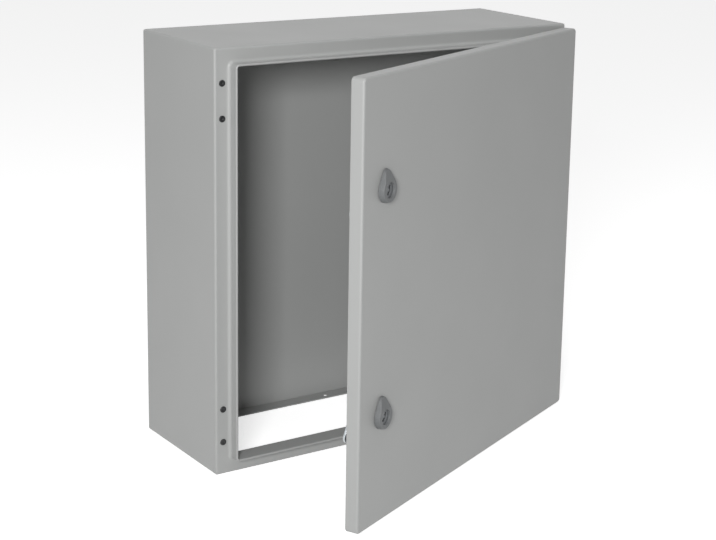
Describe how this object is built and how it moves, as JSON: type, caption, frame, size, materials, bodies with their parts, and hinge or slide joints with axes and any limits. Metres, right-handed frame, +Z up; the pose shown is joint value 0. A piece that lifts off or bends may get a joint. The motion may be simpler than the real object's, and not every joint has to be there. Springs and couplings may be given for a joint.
{
  "type": "steel wall enclosure",
  "caption": "Folded steel wall enclosure with a side-hinged door on hidden hinges, quarter-turn locks, a rain lip round the front and an open cable cut-out in the base.",
  "frame": {"origin": "centre of the rectangle of wall fixing holes, on the outer face of the back panel", "axes": "+Y points out of the back into the wall, -Y is the door side, +Z is up, +X is the hinge side"},
  "size_m": [0.6031, 0.4803, 0.6],
  "materials": {
    "cabinet_coat": "light grey powder coat, semi-matt with fine orange peel",
    "door_coat": "light grey powder coat, semi-matt with fine orange peel",
    "seal_foam": "dark foamed polyurethane with a matt skin",
    "plug_plastic": "dark moulded plastic",
    "lock_plastic": "mid grey moulded polyamide",
    "lock_insert_zinc": "grey die-cast zinc",
    "gasket_rubber": "thin black rubber",
    "hinge_zinc": "die-cast zinc, satin",
    "coppered_stud": "copper flashed weld studs",
    "zinc_plated_steel": "zinc plated steel"
  },
  "bodies": {
    "cabinet": {"back_panel": "cabinet_coat", "body_earth_nut": "zinc_plated_steel", "body_earth_stud": "coppered_stud", "body_earth_washer": "zinc_plated_steel", "body_shell": "cabinet_coat", "hinge_base_lower": "hinge_zinc", "hinge_base_upper": "hinge_zinc", "hinge_nuts": "zinc_plated_steel", "hinge_pin_lower": "zinc_plated_steel", "hinge_pin_upper": "zinc_plated_steel", "hinge_screws": "zinc_plated_steel", "plate_studs": "coppered_stud", "rim_plugs": "plug_plastic"},
    "door": {"arm_nuts": "zinc_plated_steel", "arm_studs": "coppered_stud", "door_earth_nut": "zinc_plated_steel", "door_earth_stud": "coppered_stud", "door_earth_washer": "zinc_plated_steel", "door_panel": "door_coat", "door_rail_hinge_side": "zinc_plated_steel", "door_rail_lock_side": "zinc_plated_steel", "door_seal": "seal_foam", "hinge_arm_lower": "hinge_zinc", "hinge_arm_upper": "hinge_zinc", "lock_gasket_lower": "gasket_rubber", "lock_gasket_upper": "gasket_rubber", "lock_housing_lower": "lock_plastic", "lock_housing_upper": "lock_plastic", "lock_nut_lower": "zinc_plated_steel", "lock_nut_upper": "zinc_plated_steel", "rail_nuts": "zinc_plated_steel", "rail_studs": "coppered_stud"},
    "lock_upper": {"lock_cam_screw_upper": "zinc_plated_steel", "lock_cam_upper": "zinc_plated_steel", "lock_insert_upper": "lock_insert_zinc"},
    "lock_lower": {"lock_cam_lower": "zinc_plated_steel", "lock_cam_screw_lower": "zinc_plated_steel", "lock_insert_lower": "lock_insert_zinc"}
  },
  "joints": [
    {"name": "door_hinge", "type": "hinge", "parent": "cabinet", "child": "door", "pos_m": [0.294, -0.224, 0], "axis": [0, 0, 1], "range_deg": [-24.6, 95.4]},
    {"name": "lock_upper_turn", "type": "hinge", "parent": "door", "child": "lock_upper", "pos_m": [-0.19423, -0.45963, 0.148], "axis": [-0.4163, 0.9092, 0], "range_deg": [-17, 73]},
    {"name": "lock_lower_turn", "type": "hinge", "parent": "door", "child": "lock_lower", "pos_m": [-0.19423, -0.45963, -0.152], "axis": [-0.4163, 0.9092, 0], "range_deg": [-30, 60]}
  ]
}
